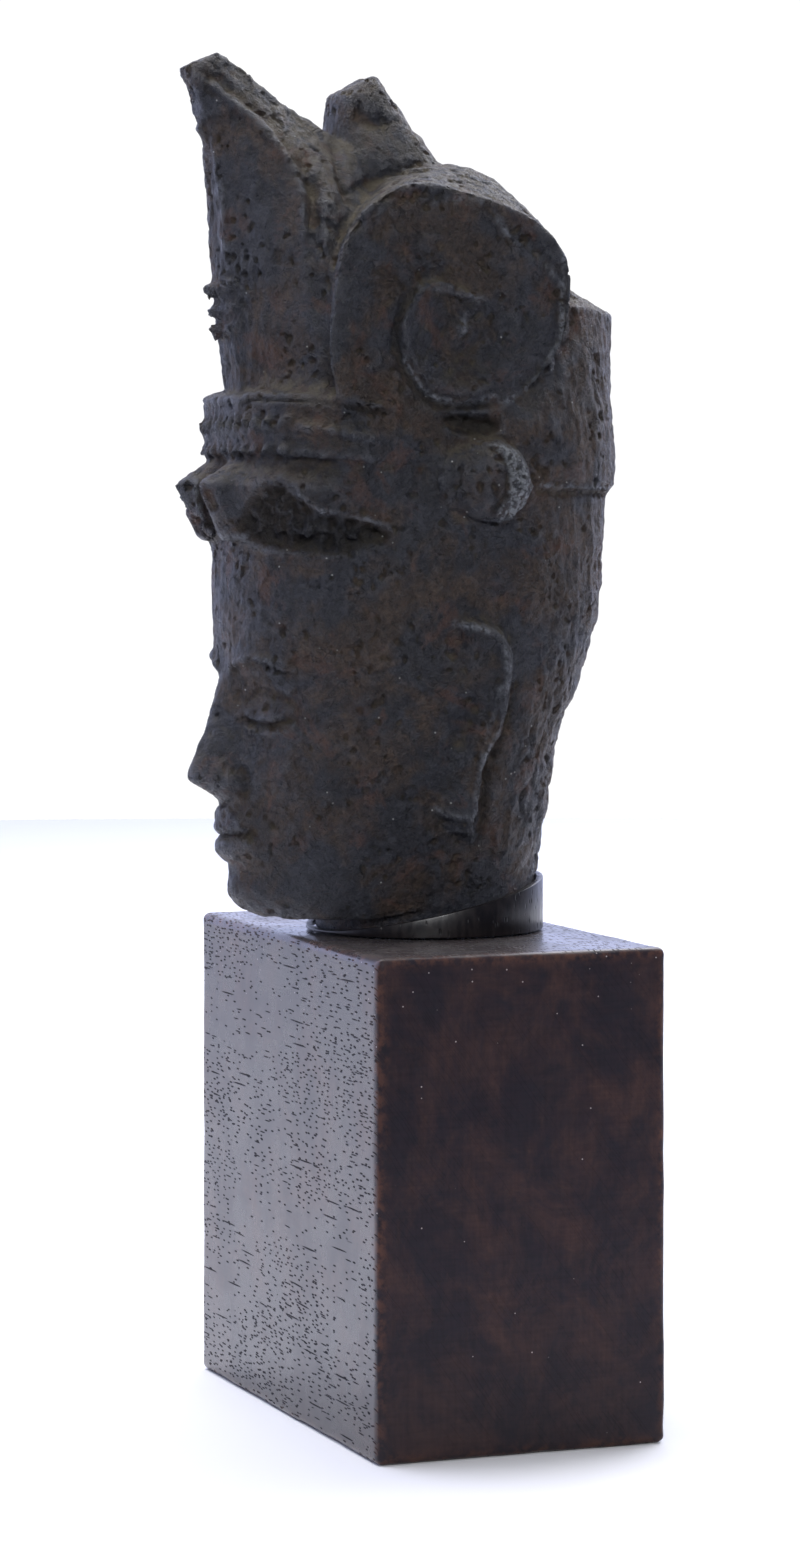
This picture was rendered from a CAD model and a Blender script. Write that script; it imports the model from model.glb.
"""A crowned iron head in a slant-cut collar on a dark wooden block, dressed round its CAD frame."""

import math
from functools import partial

import bpy
import numpy as np
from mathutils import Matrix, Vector, noise


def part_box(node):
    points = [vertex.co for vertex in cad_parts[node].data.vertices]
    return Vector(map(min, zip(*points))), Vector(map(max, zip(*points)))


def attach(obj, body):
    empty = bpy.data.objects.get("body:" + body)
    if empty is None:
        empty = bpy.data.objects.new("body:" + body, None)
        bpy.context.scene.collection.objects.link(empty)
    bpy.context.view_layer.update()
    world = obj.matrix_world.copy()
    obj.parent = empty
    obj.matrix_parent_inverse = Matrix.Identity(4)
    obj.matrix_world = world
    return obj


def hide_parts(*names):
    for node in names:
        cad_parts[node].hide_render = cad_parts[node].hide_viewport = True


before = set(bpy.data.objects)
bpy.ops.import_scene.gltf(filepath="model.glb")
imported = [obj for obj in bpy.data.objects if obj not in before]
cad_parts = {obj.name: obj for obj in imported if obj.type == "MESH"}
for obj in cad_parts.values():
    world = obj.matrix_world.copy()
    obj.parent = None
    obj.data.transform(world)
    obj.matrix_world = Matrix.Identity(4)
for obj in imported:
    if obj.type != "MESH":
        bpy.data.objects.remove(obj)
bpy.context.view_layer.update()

MM = 0.001

# Where things are, in millimetres, as the CAD has them.
BLOCK_LOW, BLOCK_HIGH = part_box("wood_block")
COLLAR_LOW, COLLAR_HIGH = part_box("neck_collar")
CHIN_Z = 73.85
RIM_MIDDLE_Z = 75.95
RIM_SLOPE = 0.2163

# The head's skin: its voxels in metres, its triangles, and the height in millimetres that the face reaches.
SKIN_VOXEL = 0.00037
SKIN_FACES = 194000
FACE_TOP_Z = 128.0

# The collar's wall, its softened rims, and what the tube is made longer by before it is cut, in metres.
COLLAR_WALL = 0.001
COLLAR_SOFT_RIM = 0.00018
COLLAR_SPARE = 0.004

# The block in millimetres: how far its edges are rounded, and how close it is cut up for that.
EDGE_ROUND = 1.2
EDGE_ROUND_LEAST = 0.8
EDGE_ROUND_MOST = 1.9
EDGE_CUTS = (0.25, 0.5, 0.8, 1.1, 1.6, 2.4)
EDGE_ZONE = 3.6
FACE_CUT = 2.4

# The camera stands level with the crown's foot, on the head's left and a little in front.
CAMERA_PLACE = (0.6207, -0.2447, 0.1351)
CAMERA_TURN = 68.8
CAMERA_LENS = 103.0
CAMERA_SHIFT = -0.1746

# The studio's round floor, its lights (name, place, aim, side, watts and colour) and its bright wall.
FLOOR_REACH = 0.105
FLOOR_RADIUS = 1.25
LIGHTS = (
    ("top_light", (-0.15, -0.15, 1.0), (0, 0, 0.1), 0.6, 7.0, (1.0, 0.98, 0.95)),
    ("front_light", (1.00, -0.32, 0.62), (0, 0, 0.12), 0.45, 7.0, (0.97, 0.98, 1.0)),
    ("far_light", (-0.5, 0.75, 0.8), (-0.3, 0.35, 0.0), 0.8, 9.0, (1.0, 1.0, 1.0)),
)
WALL_SIDE = (-0.99, 0.0, 0.10)
WALL_TINT = (0.62, 0.68, 1.0)
WALL_DIM, WALL_BRIGHT = 0.12, 1.85
BACKDROP = 1.05


# ---------------------------------------------------------------- small helpers


def smooth_step(low, high, value):
    """Rise from 0 at low to 1 at high without a corner."""
    share = np.clip((value - low) / (high - low), 0.0, 1.0)
    return share * share * (3.0 - 2.0 * share)


def hump(value, middle, width):
    """A round hump, 1 high at its middle."""
    return np.exp(-(((value - middle) / width) ** 2))


def only(piece):
    """Select one piece and nothing else."""
    bpy.ops.object.select_all(action="DESELECT")
    piece.select_set(True)
    bpy.context.view_layer.objects.active = piece


def finish_with(piece, kind, **settings):
    """Add one modifier and apply it."""
    only(piece)
    modifier = piece.modifiers.new(kind.lower(), kind)
    for name, value in settings.items():
        setattr(modifier, name, value)
    bpy.ops.object.modifier_apply(modifier=modifier.name)


def merged_copy(node, name):
    """A copy of a CAD node with its loose triangles joined."""
    piece = bpy.data.objects.new(name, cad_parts[node].data.copy())
    bpy.context.scene.collection.objects.link(piece)
    only(piece)
    bpy.ops.object.mode_set(mode="EDIT")
    bpy.ops.mesh.select_all(action="SELECT")
    bpy.ops.mesh.remove_doubles(threshold=1e-6)
    bpy.ops.object.mode_set(mode="OBJECT")
    piece.data.materials.clear()
    return piece


# ---------------------------------------------------------------- sculpting the skin


class Skin:
    """The points of a dense mesh, in millimetres, with what sculpting them needs."""

    def __init__(self, piece):
        self.mesh = piece.data
        count = len(self.mesh.vertices)
        flat = np.empty(count * 3, np.float64)
        self.mesh.vertices.foreach_get("co", flat)
        self.places = flat.reshape(-1, 3) / MM
        ends = np.empty(len(self.mesh.edges) * 2, np.int64)
        self.mesh.edges.foreach_get("vertices", ends)
        self.ends = ends.reshape(-1, 2)
        self.degree = np.bincount(self.ends.ravel(), minlength=count).astype(float)
        self.lift = np.zeros(count)
        self.read_normals()

    def read_normals(self):
        """Take the normals of the mesh as it stands."""
        self.store()
        flat = np.empty(len(self.places) * 3, np.float64)
        self.mesh.vertices.foreach_get("normal", flat)
        self.normals = flat.reshape(-1, 3)

    def store(self):
        """Write the points back to the mesh."""
        self.mesh.vertices.foreach_set("co", (self.places * MM).ravel())
        self.mesh.update()

    def neighbour_mean(self, values):
        """The mean of each point's neighbours."""
        first, second = self.ends[:, 0], self.ends[:, 1]
        wide = values if values.ndim == 2 else values[:, None]
        total = np.empty_like(wide)
        count = len(self.places)
        for column in range(wide.shape[1]):
            total[:, column] = np.bincount(first, wide[second, column], count)
            total[:, column] += np.bincount(second, wide[first, column], count)
        total /= self.degree[:, None]
        return total if values.ndim == 2 else total[:, 0]

    def relax(self, rounds, weight):
        """Smooth the skin, as much as the weight of each point says."""
        for _ in range(rounds):
            mean = self.neighbour_mean(self.places)
            self.places += (mean - self.places) * (0.5 * weight)[:, None]

    def blurred(self, values, rounds):
        """Values spread out over the skin."""
        for _ in range(rounds):
            values = 0.5 * values + 0.5 * self.neighbour_mean(values)
        return values

    def hollowness(self, rounds):
        """How far a point lies under its surroundings: above 0 in hollows, below on edges."""
        mean = self.places
        for _ in range(rounds):
            mean = self.neighbour_mean(mean)
        return ((mean - self.places) * self.normals).sum(axis=1)

    def commit(self):
        """Move the points along their normals by all lifts gathered so far."""
        self.places += self.normals * self.lift[:, None]
        self.lift[:] = 0.0
        self.read_normals()

    def grain(self, size, octaves, seed, stretch=(1.0, 1.0, 1.0)):
        """Fractal noise from -1 to 1, with lumps of the given size in millimetres."""
        shift = Vector((seed * 17.3, seed * 5.1, seed * 9.7))
        scaled = self.places / (size * np.array(stretch))
        return np.array([noise.fractal(Vector(place) + shift, 1.0, 2.0, octaves) for place in scaled])


def path_distance(points, path):
    """The distance of flat points from a path, and how far along the path the nearest place is."""
    best = np.full(len(points), 1e9)
    along = np.zeros(len(points))
    path = np.asarray(path, float)
    lengths = np.linalg.norm(np.diff(path, axis=0), axis=1)
    total = lengths.sum()
    done = 0.0
    for start, end, length in zip(path, path[1:], lengths):
        way = (end - start) / length
        reach = np.clip((points - start) @ way, 0.0, length)
        gap = np.linalg.norm(points - start - reach[:, None] * way, axis=1)
        nearer = gap < best
        best[nearer] = gap[nearer]
        along[nearer] = (done + reach[nearer]) / total
        done += length
    return best, along


def smooth_path(path, steps=6):
    """More points on a smooth curve through the given ones."""
    path = [np.asarray(point, float) for point in path]
    path = [2 * path[0] - path[1], *path, 2 * path[-1] - path[-2]]
    points = []
    for before, start, end, after in zip(path, path[1:], path[2:], path[3:]):
        for step in range(steps):
            t = step / steps
            points.append(
                0.5 * (2 * start + (end - before) * t + (2 * before - 5 * start + 4 * end - after) * t * t
                       + (3 * start - before - 3 * end + after) * t**3)
            )
    points.append(path[-2])
    return np.array(points)


def close_by(flat, where, line, reach):
    """Which points of a flat view are in sight and not far from a line."""
    low, high = line.min(axis=0) - reach, line.max(axis=0) + reach
    return np.nonzero((where > 0.01) & np.all((flat > low) & (flat < high), axis=1))[0]


def stroke(skin, flat, where, path, width, lift, fade=0.0):
    """Raise or press the skin along a path on a flat view of it. Fade softens both ends."""
    path = smooth_path(path)
    near = close_by(flat, where, path, 3 * width)
    gap, along = path_distance(flat[near], path)
    amount = hump(gap, 0.0, width)
    if fade:
        amount *= smooth_step(0.0, fade, along) * smooth_step(1.0, 1.0 - fade, along)
    skin.lift[near] += lift * amount * where[near]


def drawn(flat, where, path, width):
    """How near each point lies to a path drawn on a flat view: 1 on it."""
    path = smooth_path(path)
    near = close_by(flat, where, path, 3 * width)
    share = np.zeros(len(flat))
    share[near] = hump(path_distance(flat[near], path)[0], 0.0, width) * where[near]
    return share


def beside(path, across, up):
    """The same path moved a little."""
    return [(y + across, z + up) for y, z in path]


def sideways(path, distance):
    """The same path moved to its own left, or to its right with a distance under 0."""
    path = np.asarray(path, float)
    way = np.gradient(path, axis=0)
    way /= np.linalg.norm(way, axis=1)[:, None]
    return path + distance * np.stack([-way[:, 1], way[:, 0]], axis=1)


def spot(skin, flat, where, place, radius, lift):
    """Raise or press the skin round one place on a flat view of it."""
    gap = np.linalg.norm(flat - np.asarray(place, float), axis=1)
    skin.lift += lift * hump(gap, 0.0, radius) * where


def dent(skin, place, radius, lift):
    """Raise or press the skin round one place."""
    gap = np.linalg.norm(skin.places - np.asarray(place, float), axis=1)
    skin.lift += lift * hump(gap, 0.0, radius)


def inside(points, outline):
    """Which flat points lie inside a closed outline."""
    outline = np.asarray(outline, float)
    result = np.zeros(len(points), bool)
    y, z = points[:, 0], points[:, 1]
    for start, end in zip(outline, np.roll(outline, -1, axis=0)):
        crosses = (start[1] > z) != (end[1] > z)
        slope = (end[0] - start[0]) / (end[1] - start[1]) if end[1] != start[1] else 0.0
        result ^= crosses & (y < start[0] + slope * (z - start[1]))
    return result


def patch(flat, where, outline, soft):
    """How much each point belongs to a patch with a soft border."""
    closed = smooth_path([*outline, outline[0]], 4)
    near = close_by(flat, where, closed, soft)
    gap, _ = path_distance(flat[near], closed)
    signed = np.where(inside(flat[near], closed), gap, -gap)
    share = np.zeros(len(flat))
    share[near] = smooth_step(-soft, soft, signed) * where[near]
    return share


# ---------------------------------------------------------------- the iron head

# The head is carved as it is seen on a slant from before one ear. The view is cut into cells, and each cell
# sees no deeper than the view's depth past what is nearest in it, in millimetres.
SLANT_AHEAD = 0.36
SLANT_ASIDE = 0.933
VIEW_CELL = 1.2
VIEW_DEPTH = 2.6

# Places in that view, across and up, in millimetres. First the crown's leaf and spike.
LEAF_EDGE = (
    (-34.7, 198.4), (-32.0, 197.4), (-29.5, 195.5), (-26.9, 193.4), (-24.5, 191.5), (-22.2, 188.8),
    (-20.9, 187.2), (-19.7, 185.3), (-18.7, 183.5), (-18.0, 181.6), (-17.7, 179.5), (-17.6, 176.8), (-17.6, 174.2),
)
STRIP_EDGE = (
    (-34.1, 194.7), (-32.7, 189.1), (-31.2, 185.9), (-30.4, 182.7), (-29.8, 179.8), (-29.9, 177.1),
    (-30.1, 174.5), (-29.3, 172.2),
)
LEAF_GROOVE = ((-17.1, 185.3), (-16.5, 181.6), (-16.3, 177.3), (-16.3, 172.2), (-16.0, 166.4), (-15.5, 160.6))
PLATE_EDGE = ((-12.5, 173.6), (-13.2, 170.4), (-13.6, 167.8), (-13.9, 164.9), (-14.1, 160.6), (-14.2, 156.2))
SPIKE_CRACK = ((-12.8, 183.0), (-12.2, 181.9), (-11.5, 180.8))
SPIKE_CHIP = ((-10.9, 193.1), (-9.1, 192.3), (-7.1, 191.7), (-5.6, 192.6))
NUBS = ((-31.0, 166.8), (-30.4, 163.6), (-30.2, 160.6))

# The head band with its two rows of beads.
BAND_LINE = (
    (-26.9, 149.6), (-25.1, 150.5), (-22.2, 150.5), (-17.6, 150.2), (-14.1, 149.8), (-10.9, 149.2),
    (-7.7, 148.6), (-5.6, 148.6),
)
BEADS = (
    (-25.9, 147.0), (-24.3, 146.9), (-22.7, 146.7), (-21.2, 147.2), (-19.6, 147.5), (-18.0, 146.4),
    (-16.8, 145.9), (-15.2, 146.2), (-13.6, 145.7), (-12.0, 145.4), (-10.3, 145.0), (-8.5, 144.8),
)
BEAD_GROOVE = ((-26.3, 146.0), (-23.7, 145.7), (-20.2, 145.9), (-16.4, 145.0), (-11.6, 144.4), (-8.0, 143.7))
LOW_BEADS = ((-22.5, 143.7), (-20.8, 143.1), (-19.0, 142.5), (-17.0, 142.7), (-14.9, 142.2), (-12.9, 142.1))
LOW_GROOVE = ((-23.7, 142.5), (-20.3, 141.9), (-16.4, 141.6), (-12.3, 141.1))
RIDGE_BEHIND = ((16.5, 138.0), (20.0, 137.9), (24.4, 137.8), (27.7, 137.5))
RIDGE_BACK_Z = 137.7

# The hair's fringe, and the lobe of hair at its front end.
FRINGE_HOLLOW = (
    (-21.6, 138.4), (-19.6, 137.0), (-17.6, 135.2), (-15.2, 133.5), (-10.9, 133.2), (-7.1, 131.8), (-5.6, 131.2),
    (-6.2, 130.0), (-8.5, 129.3), (-11.6, 128.3), (-15.2, 128.4), (-18.1, 128.7), (-21.1, 129.0), (-23.7, 129.3),
    (-25.4, 130.3), (-27.2, 131.8), (-26.4, 134.1), (-24.3, 136.6),
)
RAGGED_RIM = (
    (-19.6, 137.3), (-17.3, 135.8), (-15.2, 134.2), (-12.9, 133.8), (-10.0, 133.5), (-7.1, 132.5), (-4.2, 131.3),
)
LOW_RIM = ((-25.1, 129.6), (-22.5, 128.7), (-19.6, 128.3), (-15.2, 127.8), (-11.7, 127.7), (-10.0, 128.7))
LOBE_RIM = (
    (-34.0, 138.7), (-33.7, 136.1), (-33.0, 133.2), (-31.7, 131.0), (-29.5, 130.4), (-26.9, 130.6),
    (-25.1, 129.4), (-23.4, 128.3),
)
LOBE_HOLLOW = ((-32.4, 137.3), (-31.8, 135.8), (-30.9, 134.1))

# The pocket under the scroll, and the knob.
POCKET = (
    (2.8, 147.6), (5.1, 148.3), (7.7, 147.9), (10.1, 147.5), (10.5, 146.3), (9.2, 145.6), (6.6, 145.4), (4.4, 146.0),
)
BACK_WALL = ((10.8, 150.1), (10.5, 148.0), (10.8, 146.0), (11.7, 144.0))
KNOB_SEAM = ((8.9, 143.7), (10.7, 142.8), (11.8, 141.1), (12.1, 138.7), (11.7, 136.4), (10.5, 134.7), (8.9, 133.5))
KNOB_CRYSTALS = (
    (9.2, 144.0), (11.7, 143.7), (13.9, 141.9), (15.3, 139.0), (15.3, 136.4), (13.6, 133.8), (10.7, 132.6),
    (10.9, 134.4), (12.1, 136.7), (12.1, 139.6), (11.2, 142.2),
)
KNOB_FRONT = ((4.4, 144.6), (2.7, 141.5), (2.2, 138.5), (2.8, 135.5), (4.6, 133.0))

# The ear and the nape behind it.
EAR_TOP = ((4.5, 117.8), (6.6, 117.5), (8.9, 116.9), (10.7, 115.8), (11.5, 114.3), (11.8, 112.0), (12.3, 110.2))
EAR_REAR = (
    (12.3, 109.9), (11.5, 106.7), (10.9, 102.7), (9.8, 100.6), (8.3, 96.8), (7.7, 94.5), (7.5, 92.2), (7.2, 89.3),
    (6.7, 86.1),
)
EAR_INNER = ((10.9, 108.8), (10.1, 105.0), (9.3, 102.4), (8.5, 99.2), (7.7, 96.0), (7.2, 92.2))
EAR_FRONT = ((7.2, 108.2), (6.7, 105.9), (6.3, 103.5), (5.4, 100.9), (4.0, 99.2))
LOBE_NOTCH = ((1.6, 91.0), (3.1, 89.9), (4.5, 89.6), (6.7, 89.3))
EAR_LOBE = ((1.6, 89.6), (6.3, 89.0), (6.3, 86.7), (2.2, 86.7))
NAPE_CRACKS = (((15.7, 102.2), (15.6, 101.0), (15.9, 99.6)), ((14.7, 93.1), (14.2, 91.6), (14.5, 89.8)))

# The scroll, the plate before it, and where the spike meets them.
COIL_LIP = (
    (-0.7, 166.8), (-1.7, 165.1), (-2.8, 163.4), (-3.6, 161.1), (-3.8, 158.5), (-3.3, 155.9), (-2.3, 154.0),
    (-0.7, 151.9), (1.3, 150.4), (4.2, 149.8), (7.0, 149.9), (10.2, 150.6),
)
COIL_TOP = ((-0.7, 166.8), (0.7, 166.9), (2.6, 166.2), (4.3, 165.6), (6.2, 165.5), (8.0, 165.2))
SCROLL_EDGE = (
    (21.0, 172.0), (20.6, 168.5), (20.5, 164.6), (20.5, 161.4), (19.8, 159.1), (18.1, 155.9), (15.8, 152.6),
    (13.6, 150.9), (11.6, 149.6),
)
DISC_TOP = (
    (-11.8, 172.6), (-9.5, 176.5), (-6.5, 179.0), (-2.2, 180.1), (0.7, 180.1), (4.3, 179.6), (8.0, 179.3),
    (10.2, 177.5), (11.6, 175.3), (12.7, 174.0), (15.0, 173.4), (17.4, 170.8), (19.4, 168.0),
)
BEVEL_CHIPS = ((13.0, 176.2), (15.4, 173.8), (17.6, 170.2), (16.4, 167.4), (18.9, 166.0))
PLATE_FOOT = ((-15.8, 162.0), (-11.5, 163.0), (-9.0, 158.0), (-9.0, 152.5), (-12.0, 151.0), (-16.8, 152.0))
PLATE_FADE = ((-13.9, 163.5), (-13.7, 160.0), (-13.5, 156.5), (-13.3, 153.0))
SPIKE_FOOT = ((-13.8, 188.9), (-12.7, 184.6), (-11.5, 180.9), (-11.2, 178.0))
ROLL_CREASE = ((-11.5, 180.9), (-8.0, 182.8), (-3.6, 184.2), (1.1, 184.9))
COIL_NUB = (5.6, 161.2)

# The nubs' heights over the chin, and how far each stands out.
NUB_LEVELS = ((93.2, 2.0), (90.0, 1.7), (87.2, 2.0))

# Worn beads across the front of the band: the heights of their two rows, and how far apart they stand.
FRONT_BEAD_ROWS = (147.0, 142.9)
FRONT_BEAD_PITCH = 2.3

# The face's own levels over the chin, and lines on one half of it: aside, and up from their level.
EYE_RISE, BROW_RISE, NOSE_RISE, MOUTH_RISE = 30.9, 37.2, 18.6, 12.4
LASH = ((4.4, -0.5), (6.2, -1.5), (8.8, -2.0), (11.4, -1.6), (13.8, -0.3))
LID_CREASE = ((4.6, 1.0), (6.6, 2.6), (9.0, 3.2), (11.8, 2.4), (14.2, 0.4))
BROW = ((1.9, -1.0), (4.4, 0.8), (8.8, 1.7), (12.6, 0.8), (15.6, -1.2))
UNDER_BROW = ((2.3, -2.0), (4.8, -0.3), (8.8, 0.5), (12.4, -0.3), (15.2, -2.2))
NOSE_WING = ((5.2, 4.6), (6.3, 2.8), (6.2, 0.8), (5.0, -0.6))
CHEEK_FOLD = ((7.0, 0.6), (8.6, -2.6), (9.6, -6.0))
LIP_BOW = ((-6.6, 1.0), (-4.0, 2.9), (-1.4, 4.0), (0.0, 3.4), (1.4, 4.0), (4.0, 2.9), (6.6, 1.0))
UNDER_LIP = ((-5.4, -1.9), (-3.2, -3.7), (0.0, -4.4), (3.2, -3.7), (5.4, -1.9))

# Lines that are rubbed bare, and lines that hold dirt, each with how strongly it shows.
RUBBED_WIDTH = 0.38
RUBBED_LINES = (
    (sideways(COIL_LIP, 0.3)[5:], 1.0), (COIL_TOP, 0.6), (sideways(SCROLL_EDGE, -0.4), 1.0), (DISC_TOP[5:], 0.7),
    (LOBE_RIM, 0.6), (EAR_TOP, 1.0), (EAR_REAR, 0.7), (EAR_INNER, 0.4), (RAGGED_RIM, 0.6), (RIDGE_BEHIND, 0.8),
    (LOBE_NOTCH, 0.6), (LEAF_EDGE, 0.3), (STRIP_EDGE, 0.4), (((5.5, 160.2), (5.7, 161.2), (5.6, 162.2)), 1.0),
)
DIRTY_WIDTH = 0.5
DIRTY_LINES = (
    (BAND_LINE, 0.9), (KNOB_SEAM, 0.7), (SPIKE_CRACK, 1.0), (SPIKE_FOOT, 0.4), (sideways(COIL_LIP, -0.5), 0.8),
    (beside(COIL_TOP, 0.0, -1.1), 0.5), (beside(EAR_REAR, 1.1, 0.0), 0.8),
)


def slant_view(skin, side):
    """The skin seen on a slant from before one ear, and which of its points are seen there."""
    places, normals = skin.places, skin.normals
    across = SLANT_AHEAD * side * places[:, 0] + SLANT_ASIDE * places[:, 1]
    toward = SLANT_ASIDE * side * places[:, 0] - SLANT_AHEAD * places[:, 1]
    facing = SLANT_ASIDE * side * normals[:, 0] - SLANT_AHEAD * normals[:, 1]
    cells = np.floor(across / VIEW_CELL).astype(int) * 1000 + np.floor(places[:, 2] / VIEW_CELL).astype(int)
    _, cell = np.unique(cells, return_inverse=True)
    nearest = np.full(cell.max() + 1, -1e9)
    np.maximum.at(nearest, cell, toward)
    seen = smooth_step(0.02, 0.15, facing) * (toward > nearest[cell] - VIEW_DEPTH)
    return np.stack([across, places[:, 2]], axis=1), seen


def carve_crown(skin, side, flat, seen):
    """Edges, grooves and chips of the leaf, the spike and the scroll."""
    line = partial(stroke, skin, flat, seen)
    line(LEAF_EDGE, 0.6, 0.40)
    line(beside(LEAF_EDGE, 1.1, 0.5), 0.8, -0.60, 0.06)
    line(STRIP_EDGE, 0.6, 0.30, 0.1)
    line(LEAF_GROOVE, 1.0, -0.40, 0.15)
    line(PLATE_EDGE, 0.5, 0.25, 0.1)
    line(beside(PLATE_EDGE, -1.0, 0.0), 0.8, -0.35, 0.1)
    for across, up in NUBS:
        line([(across - 1.5, up - 0.6), (across, up), (across + 3.6, up + 1.1)], 0.7, 0.7, 0.1)
    # The coil's lip and the ledge at its top, the bevel round the scroll and its chips.
    lip_worn = seen * (0.75 + 0.5 * skin.grain(1.6, 2, 41))
    stroke(skin, flat, lip_worn, sideways(COIL_LIP, 0.35), 0.45, 0.50, 0.06)
    line(sideways(COIL_LIP, -0.45), 0.55, -0.60, 0.08)
    stroke(skin, flat, lip_worn, COIL_TOP, 0.5, 0.45, 0.1)
    line(beside(COIL_TOP, 0.0, -1.0), 0.8, -0.45, 0.15)
    line(SCROLL_EDGE, 1.9, -0.75, 0.1)
    stroke(skin, flat, seen * np.clip(skin.grain(1.5, 3, 42), 0.0, 1.0), DISC_TOP, 0.8, -1.5, 0.05)
    line(beside(PLATE_FADE, -1.1, 0.0), 1.3, 0.9, 0.35)
    line(beside(PLATE_FADE, 0.9, 0.0), 1.2, -0.5, 0.35)
    line(SPIKE_FOOT, 0.8, -0.6, 0.15)
    line(ROLL_CREASE, 0.7, -0.55, 0.1)
    for place in BEVEL_CHIPS:
        spot(skin, flat, seen, place, 1.0, -0.55)
    # The nub in the middle of the coil, with creases beside it and the dark floor below.
    spot(skin, flat, seen, COIL_NUB, 0.7, 0.5)
    line([(5.4, 161.4), (4.2, 163.2)], 0.35, -0.35)
    line([(5.8, 161.6), (8.0, 162.8)], 0.35, -0.30)
    spot(skin, flat, seen, (6.2, 157.6), 2.0, -0.5)
    spot(skin, flat, seen, (8.9, 159.9), 1.0, 0.35)
    # The pocket under the scroll, in front of the casting's back.
    skin.lift -= 2.0 * patch(flat, seen, POCKET, 0.7)
    line(BACK_WALL, 0.9, 0.5, 0.2)
    if side > 0:
        line(SPIKE_CRACK, 0.3, -0.6)
        line(SPIKE_CHIP, 1.2, -0.9, 0.1)
        spot(skin, flat, seen, (-28.3, 171.5), 0.6, -0.9)
        spot(skin, flat, seen, (-14.1, 167.7), 0.7, -0.7)


def carve_band(skin, side, flat, seen):
    """The head band's step, its two rows of worn beads and its lower edge behind."""
    line = partial(stroke, skin, flat, seen)
    line(BAND_LINE, 0.35, -0.70, 0.05)
    line(beside(BAND_LINE, 0.0, 0.8), 0.6, 0.35, 0.05)
    line(BEADS, 1.0, 0.25, 0.2)
    line(BEAD_GROOVE, 0.6, -0.35, 0.2)
    line(LOW_BEADS, 0.8, 0.20, 0.2)
    line(LOW_GROOVE, 0.45, -0.30, 0.2)
    for index, place in enumerate(BEADS):
        spot(skin, flat, seen, place, 0.62, (0.45, 0.25, 0.5, 0.35)[(index + (side < 0)) % 4])
    for place in LOW_BEADS:
        spot(skin, flat, seen, place, 0.55, 0.30)
    line(RIDGE_BEHIND, 0.4, 0.65)
    line(beside(RIDGE_BEHIND, 0.0, -0.9), 0.5, -0.50)
    # Worn beads across the front, that show on the band's outline.
    ahead = smooth_step(-0.5, -0.85, skin.normals[:, 1])
    height = skin.places[:, 2]
    rows = sum(hump(height, row, 0.9) for row in FRONT_BEAD_ROWS)
    skin.lift += 0.35 * rows * ahead * np.cos(skin.places[:, 0] * 2.0 * math.pi / FRONT_BEAD_PITCH)


def ridge_round_back(skin):
    """The band's lower ridge where it runs across the back of the head, out of both slanted views."""
    return hump(skin.places[:, 2], RIDGE_BACK_Z, 0.4) * smooth_step(0.80, 0.95, skin.normals[:, 1])


def carve_hair(skin, side, flat, seen):
    """The fringe: a rounded rim round a hollow, lumpy underside."""
    line = partial(stroke, skin, flat, seen)
    hollow = patch(flat, seen, FRINGE_HOLLOW, 0.9)
    lumps = skin.grain(1.7, 2, 21 + side)
    skin.lift += hollow * (-1.5 + 1.3 * np.clip(lumps, -0.4, 0.8))
    ragged = 0.6 + 0.8 * skin.grain(1.1, 2, 23)
    stroke(skin, flat, seen * np.clip(ragged, 0.0, 1.5), RAGGED_RIM, 0.6, 0.75, 0.1)
    line(LOW_RIM, 0.5, 0.55, 0.1)
    line(LOBE_RIM, 0.6, 0.55, 0.05)
    line(LOBE_HOLLOW, 1.0, -0.90, 0.1)


def carve_ear(skin, side, flat, seen):
    """The long ear's crusted top, its double rear edge and its squared lobe."""
    line = partial(stroke, skin, flat, seen)
    crusted = seen * np.clip(0.8 + 0.9 * skin.grain(1.0, 2, 43), 0.0, 1.6)
    stroke(skin, flat, crusted, EAR_TOP, 0.75, 0.75, 0.1)
    line(beside(EAR_TOP, 0.6, 1.2), 0.7, -0.60, 0.1)
    line(EAR_REAR, 0.45, 0.60)
    line(EAR_INNER, 0.40, 0.50, 0.1)
    line(beside(EAR_INNER, 0.7, 0.0), 0.4, -0.35, 0.1)
    line(beside(EAR_REAR, 1.1, 0.0), 0.8, -0.80, 0.05)
    line(EAR_FRONT, 1.2, -0.80, 0.2)
    line(LOBE_NOTCH, 0.4, 0.60, 0.1)
    skin.lift -= 1.1 * patch(flat, seen, EAR_LOBE, 0.5)
    if side > 0:
        for crack in NAPE_CRACKS:
            line(crack, 0.35, -0.7)


def carve_knob(skin, side, flat, seen):
    """The knob: a smooth cap, a seam and a crust of crystals behind it."""
    line = partial(stroke, skin, flat, seen)
    line(KNOB_FRONT, 1.5, 0.9, 0.3)
    line(KNOB_SEAM, 0.45, -0.75, 0.1)
    crystals = np.abs(skin.grain(0.9, 2, 31 + side))
    skin.lift += patch(flat, seen, KNOB_CRYSTALS, 0.5) * (1.5 * crystals - 0.35)


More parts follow.
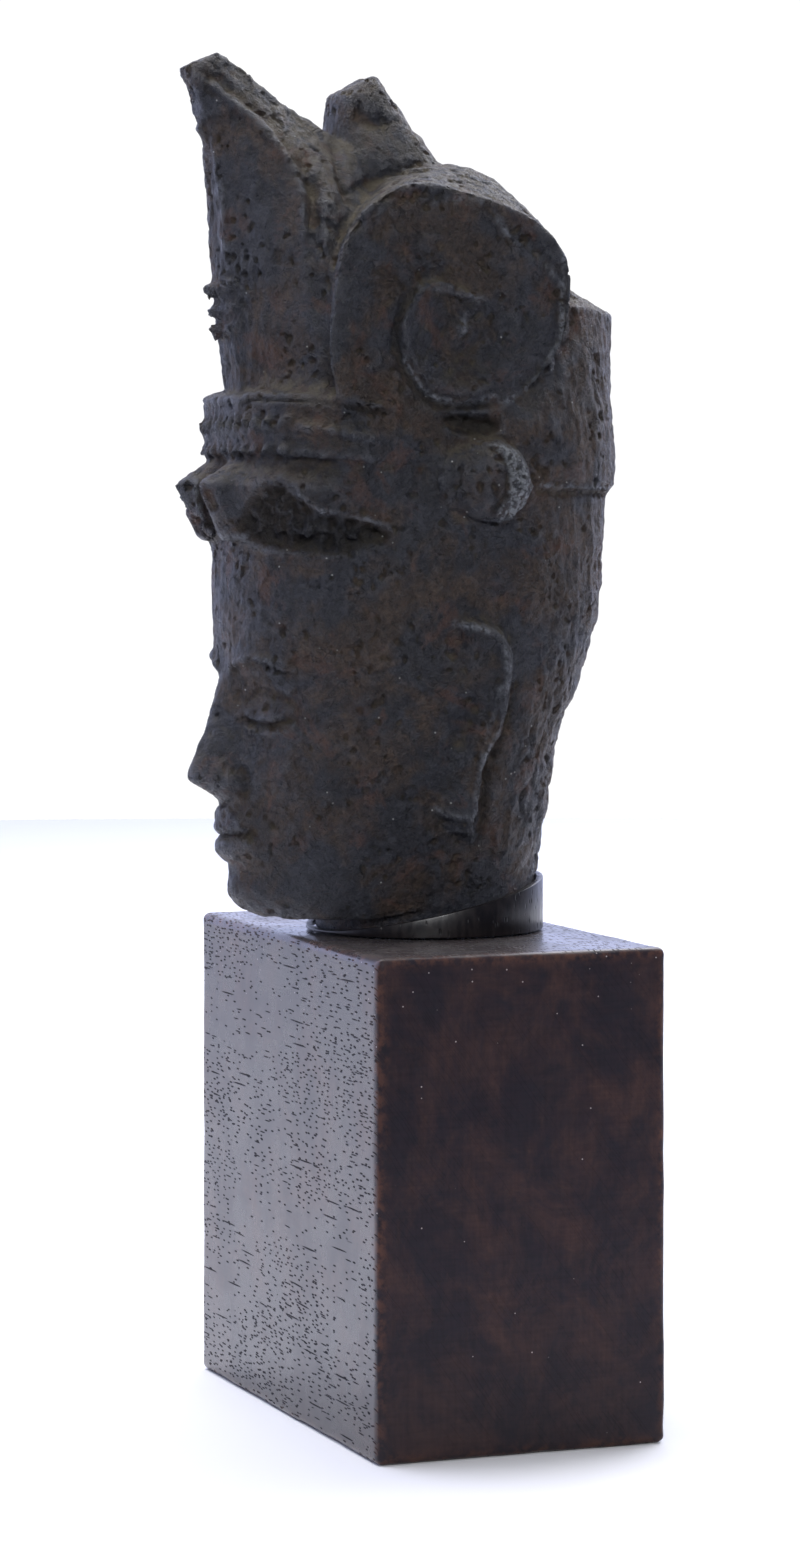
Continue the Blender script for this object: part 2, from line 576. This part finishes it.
def carve_face(skin):
    """The lids, lips and nostrils of a calm, general face."""
    front = smooth_step(-0.10, -0.45, skin.normals[:, 1]) * (skin.places[:, 2] < FACE_TOP_Z)
    flat = skin.places[:, [0, 2]]
    eye = CHIN_Z + EYE_RISE
    brow = CHIN_Z + BROW_RISE
    nose = CHIN_Z + NOSE_RISE
    mouth = CHIN_Z + MOUTH_RISE
    lash = beside(LASH, 0.0, eye)
    for side in (-1, 1):
        half = front * (side * skin.places[:, 0] > -0.4)
        for path, width, lift, fade in (
            (lash, 0.45, -0.85, 0.15),
            (beside(lash, 0.0, -0.9), 0.6, 0.35, 0.15),
            (beside(lash, 0.0, 0.9), 0.8, 0.30, 0.15),
            (beside(LID_CREASE, 0.0, eye), 0.45, -0.55, 0.15),
            (beside(BROW, 0.0, brow), 0.6, 0.55, 0.15),
            (beside(UNDER_BROW, 0.0, brow), 0.7, -0.45, 0.15),
            (beside(NOSE_WING, 0.0, nose), 0.55, -0.70, 0.15),
            (beside(CHEEK_FOLD, 0.0, nose), 1.4, -0.35, 0.3),
        ):
            stroke(skin, flat, half, [(side * x, z) for x, z in path], width, lift, fade)
        dent(skin, (side * 2.4, -36.2, nose + 0.3), 1.15, -1.3)
        dent(skin, (side * 7.3, -30.4, mouth + 0.4), 1.1, -0.9)
    for height, width, lift in ((0.0, 0.40, -0.85), (1.1, 0.7, 0.30), (-1.2, 0.8, 0.30)):
        lips = [(x, mouth + height + 0.012 * x * x - 0.25 * math.exp(-x * x)) for x in np.linspace(-7.2, 7.2, 13)]
        stroke(skin, flat, front, lips, width, lift, 0.12)
    stroke(skin, flat, front, beside(LIP_BOW, 0.0, mouth), 0.45, 0.35, 0.1)
    stroke(skin, flat, front, beside(UNDER_LIP, 0.0, mouth), 0.6, -0.40, 0.15)
    stroke(skin, flat, front, [(0.0, nose - 1.2), (0.0, mouth + 4.2)], 0.9, -0.45, 0.2)


def point_nubs(skin):
    """Pinch the nubs down the front strip to points."""
    places = skin.places
    for level, reach in NUB_LEVELS:
        up = places[:, 2] - CHIN_Z - level
        aside = places[:, 0]
        tip = places[(np.abs(up) < 0.5) & (np.abs(aside) < 1.0), 1].min()
        near = (np.abs(up) < 2.6) & (np.abs(aside) < 3.0)
        share = np.clip((tip + reach - places[near, 1]) / reach, 0.0, 1.0)
        places[near, 2] -= up[near] * 0.50 * share
        places[near, 0] -= aside[near] * 0.40 * share
        places[near, 1] -= 0.5 * share


def over_rim(skin, low, high):
    """How far a point is clear of the collar's rim."""
    return smooth_step(low, high, skin.places[:, 2] - RIM_MIDDLE_Z - RIM_SLOPE * skin.places[:, 1])


def wear_iron(skin):
    """The corroded skin of old cast iron: gently uneven, flaked, furrowed down the back."""
    front = smooth_step(0.1, -0.6, skin.normals[:, 1]) * smooth_step(130.0, 124.0, skin.places[:, 2])
    calm = 1.0 - 0.30 * front
    low = smooth_step(134.0, 124.0, skin.places[:, 2])
    skin.lift += (0.18 * skin.grain(9.0, 2, 1) + (0.13 + 0.10 * low) * skin.grain(2.8, 3, 2)) * calm
    skin.lift += (0.10 + 0.05 * low) * skin.grain(1.1, 2, 3) * calm
    # Flakes that have come off leave shallow flat places with small steps round them.
    flakes = skin.grain(3.6, 3, 4)
    some = smooth_step(-0.1, 0.3, skin.grain(16.0, 2, 14))
    skin.lift -= 0.24 * smooth_step(0.14, 0.19, flakes) * calm * some
    # Scattered deep pits.
    pits = skin.grain(1.3, 2, 15)
    skin.lift -= 0.60 * smooth_step(0.38, 0.58, pits) * smooth_step(-0.1, 0.25, skin.grain(7.0, 2, 16)) * calm
    # Long shallow furrows of the casting down the back.
    back = smooth_step(-0.1, 0.6, skin.normals[:, 1]) * smooth_step(78.0, 90.0, skin.places[:, 2])
    skin.lift += 0.26 * skin.grain(1.3, 3, 8, (1.0, 1.0, 4.0)) * back
    # Fine upright lines down the narrow front of the leaf, and lumps on everything that faces ahead.
    ahead = smooth_step(-0.72, -0.92, skin.normals[:, 1])
    crown = smooth_step(150.0, 156.0, skin.places[:, 2])
    skin.lift += (0.12 + 0.18 * crown) * skin.grain(0.8, 2, 5, (1.0, 1.0, 5.0)) * ahead
    skin.lift *= over_rim(skin, 0.4, 2.4)


def chip_edges(skin):
    """Break and round the sharp edges here and there."""
    sharp = smooth_step(0.06, 0.30, -skin.hollowness(4))
    chips = smooth_step(-0.1, 0.5, skin.grain(2.2, 3, 6))
    skin.lift -= (0.05 + 0.45 * chips) * sharp * over_rim(skin, 1.0, 3.0)


def carve_iron(skin):
    """Carve the head's forms into its skin, then wear it."""
    crown = smooth_step(122.0, 132.0, skin.places[:, 2])
    skin.relax(8, 1.0 - 0.75 * crown)
    skin.read_normals()
    point_nubs(skin)
    skin.read_normals()
    carve_face(skin)
    for side in (-1, 1):
        flat, seen = slant_view(skin, side)
        for carve in (carve_crown, carve_band, carve_hair, carve_ear, carve_knob):
            carve(skin, side, flat, seen)
    skin.lift += 0.5 * ridge_round_back(skin)
    skin.lift *= over_rim(skin, 0.4, 2.0)
    skin.commit()
    foot = sum(patch(*slant_view(skin, side), PLATE_FOOT, 2.0) for side in (-1, 1))
    skin.relax(90, foot)
    skin.relax(1, np.full(len(skin.places), 0.3))
    skin.read_normals()
    wear_iron(skin)
    skin.commit()
    chip_edges(skin)
    skin.commit()


def mark_iron(piece):
    """Keep what the casting's finish reads: hollows, edges, dust, crystals, dirt and rubbed lines."""
    skin = Skin(piece)
    hollow = skin.blurred(skin.hollowness(3), 1)
    wide = skin.blurred(skin.hollowness(16), 4)
    keep(piece, "hollow", smooth_step(0.02, 0.22, hollow) * 0.5 + smooth_step(0.1, 0.9, wide) * 0.7)
    keep(piece, "edge", smooth_step(0.03, 0.25, -hollow))
    up = smooth_step(0.15, 0.75, skin.normals[:, 2])
    keep(piece, "dust", skin.blurred(up, 2))
    crust = np.zeros(len(skin.places))
    grime = np.zeros(len(skin.places))
    rubbed = 0.5 * ridge_round_back(skin)
    for side in (-1, 1):
        flat, seen = slant_view(skin, side)
        crust = np.maximum(crust, patch(flat, seen, KNOB_CRYSTALS, 0.4))
        grime = np.maximum(grime, patch(flat, seen, FRINGE_HOLLOW, 1.2))
        grime = np.maximum(grime, patch(flat, seen, POCKET, 0.9))
        for path, strength in RUBBED_LINES:
            rubbed = np.maximum(rubbed, strength * drawn(flat, seen, path, RUBBED_WIDTH))
        for path, strength in DIRTY_LINES:
            grime = np.maximum(grime, strength * drawn(flat, seen, path, DIRTY_WIDTH))
    keep(piece, "crust", crust)
    keep(piece, "grime", grime)
    keep(piece, "rubbed", rubbed)


def iron_skin():
    """The casting: the CAD form as a dense skin, carved, worn and thinned to its number of triangles."""
    piece = merged_copy("iron_head", "iron_casting")
    finish_with(piece, "REMESH", mode="VOXEL", voxel_size=SKIN_VOXEL, adaptivity=0.0)
    carve_iron(Skin(piece))
    share = min(1.0, 2 * SKIN_FACES / len(piece.data.loops))
    finish_with(piece, "DECIMATE", ratio=share, use_collapse_triangulate=True)
    mark_iron(piece)
    shade(piece)
    return piece


def keep(piece, name, values):
    """Keep one number for each point on the piece, for its finish to read."""
    layer = piece.data.attributes.new(name, "FLOAT", "POINT")
    layer.data.foreach_set("value", np.clip(values, 0.0, 1.0).astype(np.float32))


def shade(piece, angle=None):
    """Smooth shading, with edges over an angle kept sharp if one is given."""
    only(piece)
    if angle is None:
        bpy.ops.object.shade_smooth()
    else:
        bpy.ops.object.shade_smooth_by_angle(angle=math.radians(angle))


# ---------------------------------------------------------------- block and collar


def cut_grid(low, high):
    """Places for cuts across a side: close together near its ends."""
    middle = np.linspace(low + EDGE_ZONE, high - EDGE_ZONE, int((high - low - 2 * EDGE_ZONE) / FACE_CUT))
    return sorted([low + step for step in EDGE_CUTS] + [high - step for step in EDGE_CUTS] + list(middle))


def block_piece():
    """The wooden block: a cube cut to size, its edges rounded and worn unevenly."""
    bpy.ops.object.select_all(action="DESELECT")
    low = np.array(BLOCK_LOW) / MM
    high = np.array(BLOCK_HIGH) / MM
    middle = (low + high) / 2
    half = (high - low) / 2
    bpy.ops.mesh.primitive_cube_add(size=2.0, location=(0, 0, 0))
    piece = bpy.context.object
    piece.name = "stained_block"
    only(piece)
    bpy.ops.object.mode_set(mode="EDIT")
    bpy.ops.mesh.select_all(action="SELECT")
    bpy.ops.transform.resize(value=tuple(half * MM))
    bpy.ops.transform.translate(value=tuple(middle * MM))
    for axis in range(3):
        normal = [0.0, 0.0, 0.0]
        normal[axis] = 1.0
        for place in cut_grid(low[axis], high[axis]):
            centre = list(middle * MM)
            centre[axis] = place * MM
            bpy.ops.mesh.select_all(action="SELECT")
            bpy.ops.mesh.bisect(plane_co=centre, plane_no=normal)
    bpy.ops.object.mode_set(mode="OBJECT")
    skin = Skin(piece)
    wear = EDGE_ROUND + 0.35 * skin.grain(9.0, 3, 11) + 0.30 * np.maximum(skin.grain(2.2, 2, 12), 0.0)
    radius = np.clip(wear, EDGE_ROUND_LEAST, EDGE_ROUND_MOST)
    away = skin.places - middle
    core = np.clip(away, -(half - radius[:, None]), half - radius[:, None])
    offset = away - core
    length = np.linalg.norm(offset, axis=1)
    round_it = length > 1e-6
    core[round_it] += offset[round_it] / length[round_it, None] * radius[round_it, None]
    skin.places = np.where(round_it[:, None], core, away) + middle
    edges = np.sort(half - np.abs(skin.places - middle), axis=1)[:, 1]
    skin.store()
    keep(piece, "rubbed", smooth_step(2.2, 0.2, edges + 0.5 * skin.grain(3.0, 2, 13)))
    shade(piece)
    return piece


def collar_piece():
    """The collar: a short tube cut on a slant, with a wall and softened rims."""
    bpy.ops.object.select_all(action="DESELECT")
    low = np.array(COLLAR_LOW)
    high = np.array(COLLAR_HIGH)
    radius = (high[0] - low[0]) / 2
    tall = high[2] - low[2] + COLLAR_SPARE
    bpy.ops.mesh.primitive_cylinder_add(
        vertices=128, radius=radius, depth=tall, end_fill_type="NOTHING", location=(0, 0, low[2] + tall / 2)
    )
    piece = bpy.context.object
    piece.name = "slant_collar"
    only(piece)
    bpy.ops.object.transform_apply(location=True, rotation=True, scale=True)
    bpy.ops.object.mode_set(mode="EDIT")
    bpy.ops.mesh.select_all(action="SELECT")
    bpy.ops.mesh.bisect(plane_co=(0, 0, RIM_MIDDLE_Z * MM), plane_no=(0, -RIM_SLOPE, 1), clear_outer=True)
    bpy.ops.object.mode_set(mode="OBJECT")
    finish_with(piece, "SOLIDIFY", thickness=COLLAR_WALL, offset=-1.0, use_even_offset=True)
    finish_with(piece, "BEVEL", width=COLLAR_SOFT_RIM, segments=2, limit_method="ANGLE", angle_limit=math.radians(50))
    shade(piece, 40)
    return piece


# ---------------------------------------------------------------- finishes

# The casting's colours. A pair runs from its dark to its light.
SLATE = ((0.031, 0.033, 0.043), (0.074, 0.077, 0.094))
RUSTY_BROWN = ((0.056, 0.039, 0.030), (0.134, 0.093, 0.069))
DARK_PATCH = (0.020, 0.019, 0.022)
OPEN_RUST = (0.155, 0.080, 0.057)
OLIVE_DUST = (0.138, 0.118, 0.082)
WORN_EDGE = (0.125, 0.132, 0.155)
GRIME = (0.012, 0.011, 0.011)
BARE_METAL = (0.34, 0.36, 0.40)
CRYSTALS = (0.37, 0.39, 0.42)
CRACK = (0.008, 0.007, 0.007)
PALE_SPECK = (0.55, 0.55, 0.53)

# The block's colours.
WOOD_STAIN = ((0.024, 0.021, 0.028), (0.072, 0.040, 0.036))
STAIN_STREAK = (0.034, 0.021, 0.027)
CLOTH_MARK = (0.012, 0.010, 0.011)
OPEN_PORE = (0.006, 0.005, 0.006)
RUBBED_WOOD = (0.120, 0.056, 0.040)
DARK_FOOT = (0.012, 0.010, 0.012)
TOP_DUST = (0.110, 0.096, 0.088)
WOOD_SPECK = (0.42, 0.36, 0.36)

# The collar's and the floor's colours.
COLLAR_STAIN = ((0.006, 0.005, 0.006), (0.016, 0.012, 0.012))
COLLAR_PORE = (0.005, 0.005, 0.005)
FLOOR_PAINT = (0.90, 0.90, 0.91)


def put(tree, socket, value):
    """Link or set one socket."""
    if isinstance(value, bpy.types.NodeSocket):
        tree.links.new(value, socket)
    elif isinstance(value, tuple) and len(value) == 3 and socket.type == "RGBA":
        socket.default_value = (*value, 1.0)
    else:
        socket.default_value = value


def add_node(tree, kind, settings=None, **inputs):
    """A node with its settings and its inputs, which are numbers, colours or other nodes' outputs."""
    made = tree.nodes.new("ShaderNode" + kind)
    for name, value in (settings or {}).items():
        setattr(made, name, value)
    for name, value in inputs.items():
        key = int(name[1:]) if name[1:].isdigit() else name.replace("_", " ")
        put(tree, made.inputs[key], value)
    return made


class Finish:
    """A node material under construction."""

    def __init__(self, name):
        self.material = bpy.data.materials.new(name)
        self.material.use_nodes = True
        self.tree = self.material.node_tree
        self.shader = self.tree.nodes["Principled BSDF"]
        self.coordinates = self.tree.nodes.new("ShaderNodeTexCoord").outputs["Object"]

    def node(self, kind, settings=None, **inputs):
        """One node in this finish."""
        return add_node(self.tree, kind, settings, **inputs)

    def surface(self, name, value):
        """Link or set one socket of the shader itself."""
        put(self.tree, self.shader.inputs[name], value)

    def scaled(self, millimetres, shift=(0.0, 0.0, 0.0)):
        """Object coordinates in cells of the given size."""
        size = millimetres if isinstance(millimetres, tuple) else (millimetres,) * 3
        scale = tuple(1.0 / (value * MM) for value in size)
        return self.node("Mapping", Vector=self.coordinates, Scale=scale, Location=shift).outputs[0]

    def noise(self, size, detail=3.0, rough=0.55, shift=(0.0, 0.0, 0.0), warp=0.0):
        """Fractal noise from 0 to 1 with lumps of the given size in millimetres."""
        where = self.scaled(size, shift)
        made = self.node("TexNoise", Vector=where, Scale=1.0, Detail=detail, Roughness=rough, Distortion=warp)
        return made.outputs["Fac"]

    def cells(self, size, shift=(0.0, 0.0, 0.0), feature="F1"):
        """A cell pattern: distance from the cell's own middle, and its own random colour."""
        return self.node("TexVoronoi", {"feature": feature}, Vector=self.scaled(size, shift), Scale=1.0)

    def math(self, operation, first, second=0.0):
        """One sum."""
        return self.node("Math", {"operation": operation}, i0=first, i1=second).outputs[0]

    def times(self, first, second):
        """One value by another."""
        return self.math("MULTIPLY", first, second)

    def plus(self, first, second):
        """Two values together."""
        return self.math("ADD", first, second)

    def channel(self, colour, index):
        """One channel of a colour."""
        return self.node("SeparateColor", Color=colour).outputs[index]

    def rise(self, value, low, high, start=0.0, end=1.0):
        """A smooth rise of a value between two limits."""
        smooth = {"interpolation_type": "SMOOTHSTEP"}
        limits = {"From_Min": low, "From_Max": high, "To_Min": start, "To_Max": end}
        return self.node("MapRange", smooth, Value=value, **limits).outputs[0]

    def mix(self, share, first, second):
        """One colour over another."""
        return self.node("Mix", {"data_type": "RGBA"}, i0=share, i6=first, i7=second).outputs[2]

    def stored(self, name):
        """A number kept on the piece's points."""
        return self.node("Attribute", {"attribute_name": name}).outputs["Fac"]

    def bump(self, height, depth, under=None):
        """Relief of the given depth in millimetres."""
        made = self.node("Bump", Height=height, Distance=depth * MM, Strength=1.0)
        if under is not None:
            self.tree.links.new(under, made.inputs["Normal"])
        return made.outputs[0]


def iron_finish():
    """Old cast iron: slate-dark and satin, with rust in patches and olive dust in its hollows."""
    f = Finish("worn_iron_patina")
    hollow = f.stored("hollow")
    edge = f.stored("edge")
    dust = f.stored("dust")
    crust = f.stored("crust")
    broad = f.noise(8.0, 5.0, 0.6, warp=0.4)
    darker = f.rise(f.noise(5.0, 5.0, 0.65, (6.0, 3.0, 9.0), 0.3), 0.40, 0.62, 1.0, 0.0)
    fine = f.noise(0.8, 5.0, 0.7)
    patches = f.noise(6.5, 4.0, 0.6, (3.1, 0.0, 1.7), 0.5)
    slate = f.mix(f.rise(fine, 0.40, 0.62), *SLATE)
    brown = f.mix(f.rise(fine, 0.40, 0.62), *RUSTY_BROWN)
    behind = f.rise(f.node("SeparateXYZ", Vector=f.coordinates).outputs[1], 0.008, 0.022, 0.0, 0.10)
    warm = f.plus(f.plus(broad, behind), f.times(hollow, 0.12))
    colour = f.mix(f.rise(warm, 0.44, 0.62, 0.0, 1.0), slate, brown)
    colour = f.mix(f.times(darker, 0.45), colour, DARK_PATCH)
    rusty = f.times(f.rise(patches, 0.54, 0.68), f.rise(fine, 0.3, 0.6, 0.3, 1.0))
    colour = f.mix(f.times(rusty, 0.70), colour, OPEN_RUST)
    mottle = f.rise(f.noise(1.8, 4.0, 0.6, (0.0, 9.0, 0.0)), 0.34, 0.6)
    lying = f.plus(f.times(hollow, 0.65), f.times(dust, 0.9))
    dusty = f.node("Clamp", Value=f.times(lying, mottle)).outputs[0]
    colour = f.mix(dusty, colour, OLIVE_DUST)
    colour = f.mix(f.times(edge, 0.60), colour, WORN_EDGE)
    colour = f.mix(f.times(f.stored("grime"), 0.75), colour, GRIME)
    bare = f.times(f.stored("rubbed"), f.rise(f.noise(0.9, 4.0, 0.65, (4.0, 4.0, 2.0)), 0.36, 0.58))
    bare = f.times(bare, f.rise(f.noise(4.0, 2.0, 0.5, (8.0, 1.0, 3.0)), 0.40, 0.60, 0.15, 1.0))
    colour = f.mix(f.times(bare, 0.90), colour, BARE_METAL)
    gleam = f.times(crust, f.rise(f.noise(0.8, 3.0, 0.6, (2.0, 2.0, 6.0)), 0.40, 0.60, 0.10, 1.0))
    colour = f.mix(f.times(gleam, 0.95), colour, CRYSTALS)
    cracks = f.cells((2.1, 2.1, 1.3), (0.0, 0.0, 4.0), feature="DISTANCE_TO_EDGE")
    cracked = f.rise(f.noise(2.6, 3.0, 0.6, (5.0, 2.0, 0.0)), 0.56, 0.66)
    crack_here = f.times(f.rise(cracks.outputs["Distance"], 0.06, 0.0), cracked)
    colour = f.mix(f.times(crack_here, 0.8), colour, CRACK)
    specks = f.cells(1.3, (7.0, 1.0, 3.0))
    rare = f.channel(specks.outputs["Color"], 0)
    more = f.plus(rare, f.rise(f.noise(8.0, 2.0, 0.5, (1.0, 4.0, 4.0)), 0.4, 0.7, 0.0, 0.14))
    speck = f.times(f.rise(specks.outputs["Distance"], 0.13, 0.07), f.rise(more, 0.93, 0.96))
    colour = f.mix(speck, colour, PALE_SPECK)
    f.surface("Base Color", colour)
    rough = f.plus(f.rise(fine, 0.3, 0.7, 0.26, 0.56), f.times(f.plus(hollow, dust), 0.16))
    f.surface("Roughness", f.math("SUBTRACT", rough, f.times(edge, 0.10)))
    f.surface("Specular IOR Level", 0.50)
    normal = f.bump(f.noise(0.6, 5.0, 0.78), 0.95)
    normal = f.bump(f.noise((1.9, 1.7, 1.5), 6.0, 0.72, (1.0, 1.0, 1.0), 0.3), 1.10, normal)
    normal = f.bump(f.times(crack_here, -1.0), 0.20, normal)
    f.surface("Normal", normal)
    return f.material


def wood_finish():
    """Dark stained, waxed wood with open pores that run across its width."""
    f = Finish("stained_pored_wood")
    place = f.node("SeparateXYZ", Vector=f.coordinates)
    wave = f.times(f.noise((45.0, 9.0, 9.0), 2.0), 2.0 * MM)
    height = place.outputs[2]
    # The pores run along the block, so one measure across them serves the front, the back and the top.
    across = f.plus(f.plus(height, f.times(place.outputs[1], 1.37)), wave)

    def pores(long, apart, reach, share_low, share_high, shift):
        """Thin pores of one length, thick in some bands and thin in others. Reach is a share of a cell."""
        down = f.math("DIVIDE", across, apart * MM)
        flat = f.node("CombineXYZ", X=f.math("DIVIDE", place.outputs[0], long * MM), Y=down)
        moved = f.node("VectorMath", {"operation": "ADD"}, i0=flat.outputs[0], i1=shift).outputs[0]
        cell = f.node("TexVoronoi", {"voronoi_dimensions": "2D"}, Vector=moved, Scale=1.0)
        chance = f.channel(cell.outputs["Color"], 0)
        bands = f.noise((34.0, 12.0, 9.0), 0.0, 0.5, shift)
        there = f.rise(f.math("SUBTRACT", f.rise(bands, 0.40, 0.62, share_low, share_high), chance), 0.0, 0.01)
        return f.times(f.rise(cell.outputs["Distance"], reach, reach * 0.6), there)

    short = pores(13.0, 1.0, 0.11, 0.12, 0.80, (0.0, 0.0, 0.0))
    dots = pores(2.6, 0.7, 0.21, 0.15, 1.0, (4.0, 2.0, 8.0))
    dots = f.math("MAXIMUM", dots, pores(4.0, 0.8, 0.18, 0.10, 0.9, (1.7, 5.3, 0.0)))
    long = pores(44.0, 1.7, 0.08, 0.20, 0.75, (2.0, 6.0, 5.0))
    # The front and the back are waxed thin over their open pores, and the two sides are sealed and matt.
    facing = f.node("SeparateXYZ", Vector=f.node("TexCoord").outputs["Normal"])
    open_side = f.rise(f.math("ABSOLUTE", facing.outputs[0]), 0.4, 0.8, 1.0, 0.08)
    pore = f.times(f.math("MAXIMUM", f.math("MAXIMUM", short, dots), long), open_side)
    along = f.noise((24.0, 2.2, 1.2), 3.0, 0.6)
    stain = f.noise((10.0, 9.0, 11.0), 8.0, 0.72, (8.0, 3.0, 1.0), 0.4)
    cloth = f.plus(f.noise((0.6, 0.6, 6.0), 3.0, 0.6, (2.0, 2.0, 2.0)), f.noise((0.6, 6.0, 0.6), 3.0, 0.6))
    cloth = f.times(cloth, 0.5)
    colour = f.mix(f.rise(stain, 0.40, 0.70), *WOOD_STAIN)
    colour = f.mix(f.rise(along, 0.3, 0.7, 0.0, 0.35), colour, STAIN_STREAK)
    colour = f.mix(f.rise(cloth, 0.35, 0.70, 0.0, 0.35), colour, CLOTH_MARK)
    colour = f.mix(f.times(pore, 0.80), colour, OPEN_PORE)
    rubbed = f.times(f.stored("rubbed"), f.rise(f.noise(1.6, 4.0, 0.6), 0.40, 0.62))
    colour = f.mix(f.times(rubbed, 0.7), colour, RUBBED_WOOD)
    specks = f.cells(1.3, (3.0, 5.0, 1.0))
    rare = f.channel(specks.outputs["Color"], 1)
    colour = f.mix(f.rise(height, 0.028, 0.0, 0.0, 0.45), colour, DARK_FOOT)
    near_top = f.rise(height, 0.052, 0.068, 0.0, 0.16)
    settled = f.rise(f.noise(2.5, 5.0, 0.7), 0.25, 0.65, 0.15, 1.0)
    lying = f.times(f.rise(facing.outputs[2], 0.5, 0.9), settled)
    colour = f.mix(f.times(lying, 0.75), colour, TOP_DUST)
    chosen = f.rise(f.plus(rare, near_top), 0.93, 0.96)
    speck = f.times(f.rise(specks.outputs["Distance"], 0.11, 0.05), chosen)
    colour = f.mix(speck, colour, WOOD_SPECK)
    f.surface("Base Color", colour)
    smudge = f.rise(f.noise(9.0, 4.0, 0.6, (6.0, 6.0, 2.0)), 0.35, 0.7, 0.24, 0.34)
    smudge = f.plus(smudge, f.times(f.math("SUBTRACT", 1.0, open_side), 0.22))
    f.surface("Roughness", f.plus(smudge, f.times(pore, 0.50)))
    gloss = f.plus(0.12, f.times(open_side, 0.46))
    f.surface("Specular IOR Level", f.math("SUBTRACT", gloss, f.times(pore, 0.40)))
    normal = f.bump(f.times(pore, -1.0), 0.06)
    normal = f.bump(f.noise((6.0, 0.7, 0.5), 3.0, 0.6), 0.02, normal)
    f.surface("Normal", normal)
    return f.material


def collar_finish():
    """The same stain, darker, on the thin collar."""
    f = Finish("stained_collar_wood")
    fine = f.noise((1.2, 1.2, 3.0), 4.0, 0.6)
    pore = f.cells((0.7, 0.7, 1.8), (1.0, 0.0, 0.0))
    there = f.rise(f.channel(pore.outputs["Color"], 0), 0.45, 0.5)
    dark = f.times(f.rise(pore.outputs["Distance"], 0.3, 0.12), there)
    colour = f.mix(f.rise(fine, 0.35, 0.7), *COLLAR_STAIN)
    f.surface("Base Color", f.mix(f.times(dark, 0.8), colour, COLLAR_PORE))
    f.surface("Roughness", f.plus(f.rise(fine, 0.3, 0.7, 0.28, 0.42), f.times(dark, 0.4)))
    f.surface("Normal", f.bump(f.times(dark, -1.0), 0.08, f.bump(fine, 0.05)))
    return f.material


def floor_finish():
    """A plain pale floor."""
    f = Finish("pale_floor")
    f.surface("Base Color", FLOOR_PAINT)
    f.surface("Roughness", 0.9)
    return f.material


# ---------------------------------------------------------------- studio


def floor_piece():
    """A wide, round, pale floor that ends a little before the block, on the camera's side."""
    bpy.ops.object.select_all(action="DESELECT")
    bpy.ops.mesh.primitive_circle_add(vertices=96, radius=FLOOR_RADIUS, fill_type="NGON", location=(0, 0, 0))
    piece = bpy.context.object
    piece.name = "studio_floor"
    bpy.ops.object.mode_set(mode="EDIT")
    bpy.ops.mesh.select_all(action="SELECT")
    nearer = (SLANT_ASIDE, -SLANT_AHEAD, 0.0)
    bpy.ops.mesh.bisect(plane_co=[FLOOR_REACH * part for part in nearer], plane_no=nearer, clear_outer=True)
    bpy.ops.object.mode_set(mode="OBJECT")
    piece.data.materials.append(floor_finish())


def soft_sky():
    """A bright wall to the left of the work, dim on the camera's side, and white behind it for the camera."""
    world = bpy.data.worlds.new("studio")
    bpy.context.scene.world = world
    world.use_nodes = True
    tree = world.node_tree
    tree.nodes.clear()
    way = add_node(tree, "TexCoord").outputs["Generated"]
    toward = add_node(tree, "VectorMath", {"operation": "DOT_PRODUCT"}, i0=way, i1=WALL_SIDE).outputs["Value"]
    limits = {"From_Min": -0.10, "From_Max": 0.60, "To_Min": WALL_DIM, "To_Max": WALL_BRIGHT}
    wall = add_node(tree, "MapRange", {"interpolation_type": "SMOOTHSTEP"}, Value=toward, **limits).outputs[0]
    dome = add_node(tree, "Background", Color=WALL_TINT, Strength=wall).outputs[0]
    seen = add_node(tree, "Background", Color=(1.0, 1.0, 1.0), Strength=BACKDROP).outputs[0]
    camera_ray = add_node(tree, "LightPath").outputs["Is Camera Ray"]
    mixed = add_node(tree, "MixShader", i0=camera_ray, i1=dome, i2=seen).outputs[0]
    add_node(tree, "OutputWorld", Surface=mixed)


def soft_light(name, place, aim, size, power, colour):
    """One soft square light."""
    data = bpy.data.lights.new(name, "AREA")
    data.shape = "SQUARE"
    data.size = size
    data.energy = power
    data.color = colour
    light = bpy.data.objects.new(name, data)
    light.location = place
    light.rotation_euler = (Vector(aim) - Vector(place)).to_track_quat("-Z", "Y").to_euler()
    bpy.context.scene.collection.objects.link(light)


def studio():
    """Floor, lights and camera."""
    floor_piece()
    soft_sky()
    for light in LIGHTS:
        soft_light(*light)
    data = bpy.data.cameras.new("camera")
    data.lens = CAMERA_LENS
    data.shift_y = CAMERA_SHIFT
    camera = bpy.data.objects.new("camera", data)
    camera.location = CAMERA_PLACE
    camera.rotation_euler = (math.radians(90.0), 0.0, math.radians(CAMERA_TURN))
    bpy.context.scene.collection.objects.link(camera)
    bpy.context.scene.camera = camera
    bpy.context.scene.view_settings.view_transform = "Standard"


def main():
    """Dress the frame and light it."""
    for piece, node, slot, finish in (
        (iron_skin(), "iron_head", "worn_iron", iron_finish()),
        (collar_piece(), "neck_collar", "collar_stain", collar_finish()),
        (block_piece(), "wood_block", "block_stain", wood_finish()),
    ):
        piece.data.materials.append(finish)
        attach(piece, "root")
        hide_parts(node)
    studio()


main()
